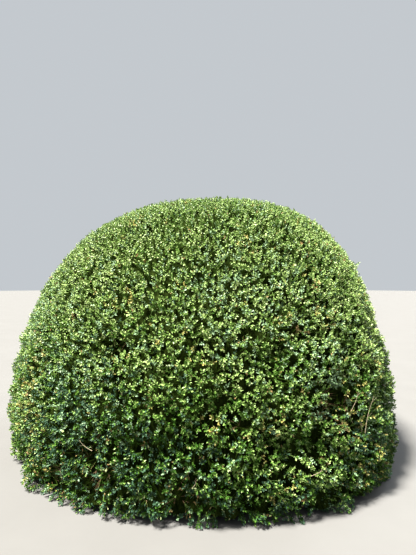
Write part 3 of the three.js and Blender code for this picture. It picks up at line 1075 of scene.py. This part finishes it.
def build_dead_twigs(materials):
    """A few bare dead twigs that lie against the leaves low on the crown."""
    random = np.random.default_rng(DEAD_TWIG_SEED)
    azimuths, elevations, lengths = np.array(DEAD_TWIGS).T
    depth = np.full(len(DEAD_TWIGS), -DEAD_TWIG_LIFT)
    parts = []
    for middle, length in zip(crown_points(direction_of(azimuths, elevations), depth), lengths):
        parts.extend(dead_twig_parts(middle, length, random))
    points, faces = join_parts(parts)
    twigs = add_piece("dead_twigs", points, faces, [materials["dead_twig"]])


def thicket_directions():
    """Columns of directions round the crown, with rows that draw together toward the top."""
    column, row = np.meshgrid(np.arange(THICKET_COLUMNS), np.arange(THICKET_ROWS), indexing="ij")
    azimuth = column * 360 / THICKET_COLUMNS
    share = (row / (THICKET_ROWS - 1)) ** THICKET_CROWDING
    elevation = THICKET_LOWEST + (90 - THICKET_LOWEST) * share
    return direction_of(azimuth.ravel(), elevation.ravel())


def build_thicket(materials):
    """The tangle of bare inner twigs under the leaves, as one rough shell, coloured almost black as
    painted shade.
    """
    random = np.random.default_rng(THICKET_SEED)
    directions = thicket_directions()
    flat = clipped_surface(directions)
    depth = THICKET_DEPTH + ripples(flat, THICKET_WAVES, random)
    for azimuth, elevation, size, deep in HOLLOWS:
        wide = THICKET_HOLLOW_WIDTH * size
        depth += THICKET_HOLLOW_DEPTH * deep * nearness(directions, azimuth, elevation, wide)
    depth -= THICKET_FOOT * np.clip(1 - flat[:, 2] / THICKET_FOOT_HEIGHT, 0, 1)
    points = crown_points(directions, depth)
    points[:, 2] = np.maximum(points[:, 2], THICKET_GAP)
    column = np.arange(THICKET_COLUMNS)[:, None]
    row = np.arange(THICKET_ROWS - 1)[None]
    here = column * THICKET_ROWS + row
    beside = (column + 1) % THICKET_COLUMNS * THICKET_ROWS + row
    faces = np.stack([here, beside, beside + 1, here + 1], axis=-1).reshape(-1, 4)
    thicket = add_piece("inner_thicket", points, faces, [materials["thicket"]], smooth=True)


# Materials

def new_group(name, inputs, outputs):
    """An empty shader node group with named sockets. Inputs are (name, type, value)."""
    group = bpy.data.node_groups.new(name, "ShaderNodeTree")
    for socket_name, kind, value in inputs:
        socket = group.interface.new_socket(socket_name, in_out="INPUT", socket_type=kind)
        socket.default_value = value
    for socket_name, kind in outputs:
        group.interface.new_socket(socket_name, in_out="OUTPUT", socket_type=kind)
    start = group.nodes.new("NodeGroupInput")
    end = group.nodes.new("NodeGroupOutput")
    return group, start, end


def stretched_grain_group():
    """Two colours mixed by noise that is stretched upward, with a height for relief."""
    group, start, end = new_group(
        "stretched grain",
        [
            ("Dark", "NodeSocketColor", (0.1, 0.08, 0.06, 1)),
            ("Light", "NodeSocketColor", (0.4, 0.34, 0.26, 1)),
            ("Scale", "NodeSocketFloat", 30.0),
            ("Stretch", "NodeSocketFloat", 0.25),
        ],
        [("Color", "NodeSocketColor"), ("Height", "NodeSocketFloat")],
    )
    place = group.nodes.new("ShaderNodeTexCoord")
    squeeze = group.nodes.new("ShaderNodeCombineXYZ")
    squeeze.inputs["X"].default_value = 1
    squeeze.inputs["Y"].default_value = 1
    group.links.new(start.outputs["Stretch"], squeeze.inputs["Z"])
    stretched = group.nodes.new("ShaderNodeVectorMath")
    stretched.operation = "MULTIPLY"
    group.links.new(place.outputs["Object"], stretched.inputs[0])
    group.links.new(squeeze.outputs["Vector"], stretched.inputs[1])
    noise = group.nodes.new("ShaderNodeTexNoise")
    noise.inputs["Detail"].default_value = 6
    noise.inputs["Roughness"].default_value = 0.62
    group.links.new(stretched.outputs["Vector"], noise.inputs["Vector"])
    group.links.new(start.outputs["Scale"], noise.inputs["Scale"])
    sharpen = group.nodes.new("ShaderNodeMapRange")
    sharpen.inputs["From Min"].default_value = 0.36
    sharpen.inputs["From Max"].default_value = 0.66
    group.links.new(noise.outputs["Fac"], sharpen.inputs["Value"])
    mix = group.nodes.new("ShaderNodeMix")
    mix.data_type = "RGBA"
    group.links.new(sharpen.outputs["Result"], mix.inputs["Factor"])
    group.links.new(start.outputs["Dark"], mix.inputs["A"])
    group.links.new(start.outputs["Light"], mix.inputs["B"])
    group.links.new(mix.outputs["Result"], end.inputs["Color"])
    group.links.new(sharpen.outputs["Result"], end.inputs["Height"])
    return group


def new_material(name, roughness, gloss):
    """A material, its node tree and its Principled shader."""
    material = bpy.data.materials.new(name)
    material.use_nodes = True
    shader = material.node_tree.nodes["Principled BSDF"]
    shader.inputs["Roughness"].default_value = roughness
    shader.inputs["Specular IOR Level"].default_value = gloss
    return material, material.node_tree, shader


def grained_material(name, grain, dark, light, scale, stretch, relief, roughness, gloss):
    """The stretched grain as colour and as bump."""
    material, tree, shader = new_material(name, roughness, gloss)
    pattern = tree.nodes.new("ShaderNodeGroup")
    pattern.node_tree = grain
    pattern.inputs["Dark"].default_value = (*dark, 1)
    pattern.inputs["Light"].default_value = (*light, 1)
    pattern.inputs["Scale"].default_value = scale
    pattern.inputs["Stretch"].default_value = stretch
    bump = tree.nodes.new("ShaderNodeBump")
    bump.inputs["Distance"].default_value = relief
    tree.links.new(pattern.outputs["Color"], shader.inputs["Base Color"])
    tree.links.new(pattern.outputs["Height"], bump.inputs["Height"])
    tree.links.new(bump.outputs["Normal"], shader.inputs["Normal"])
    return material


def plain_material(name, colour, roughness, gloss):
    """A plain colour for joined leaves or twigs, which get their variety from many tints."""
    material, _, shader = new_material(name, roughness, gloss)
    shader.inputs["Base Color"].default_value = (*colour, 1)
    return material


def leaf_material(tint):
    """One leaf tint, with less gloss on shaded and dry leaves and on the painted shade tint."""
    gloss = MATT_LEAF_GLOSS if tint in MATT_TINTS else LEAF_GLOSS
    return plain_material(tint, TINTS[tint], LEAF_ROUGHNESS, gloss)


def bark_material(grain):
    """Matt grey-brown bark with fine cracks."""
    return grained_material(
        "bark", grain, dark=(0.085, 0.068, 0.048), light=(0.250, 0.208, 0.150),
        scale=38, stretch=0.55, relief=0.003, roughness=0.85, gloss=0.2)


def painted_shade_thicket_material(grain):
    """Almost black green: painted shade for the depth between the leaves."""
    return grained_material(
        "thicket", grain, dark=(0.003, 0.006, 0.001), light=(0.018, 0.028, 0.005),
        scale=28, stretch=0.6, relief=0.010, roughness=0.95, gloss=0.0)


def floor_material(grain):
    """An even floor that looks pale under the strong lamps."""
    return grained_material(
        "floor", grain, dark=(0.094, 0.093, 0.091), light=(0.099, 0.098, 0.096),
        scale=1.5, stretch=1.0, relief=0.001, roughness=0.8, gloss=0.2)


def make_materials():
    """All the finishes by name."""
    grain = stretched_grain_group()
    materials = {tint: leaf_material(tint) for tint in TINTS}
    for name, colour, roughness, gloss in TWIG_FINISHES:
        materials[name] = plain_material(name, colour, roughness, gloss)
    materials["bark"] = bark_material(grain)
    materials["thicket"] = painted_shade_thicket_material(grain)
    materials["floor"] = floor_material(grain)
    return materials


def add_floor(materials):
    """The plain pale studio floor, round so that its edge looks level from every side."""
    turn = np.linspace(0, 2 * math.pi, FLOOR_SIDES, endpoint=False)
    rim = np.stack([np.cos(turn), np.sin(turn), np.zeros(FLOOR_SIDES)], axis=-1) * FLOOR_RADIUS
    mesh = bpy.data.meshes.new("studio_floor")
    mesh.from_pydata(rim.tolist(), [], [tuple(range(FLOOR_SIDES))])
    mesh.materials.append(materials["floor"])
    floor = bpy.data.objects.new("studio_floor", mesh)
    bpy.context.scene.collection.objects.link(floor)


def main():
    """Sets up the studio, then grows the plant mass by mass and adds its bark and its inside."""
    place_camera()
    light_studio()
    materials = make_materials()
    add_floor(materials)
    directions = shoot_directions()
    owners = mass_of(directions)
    thick_limbs = []
    for mass in range(len(MASS_NAMES)):
        thick_limbs.append(build_mass(mass, directions[owners == mass], materials))
    build_dead_twigs(materials)
    build_bark(thick_limbs, materials)
    build_thicket(materials)


main()
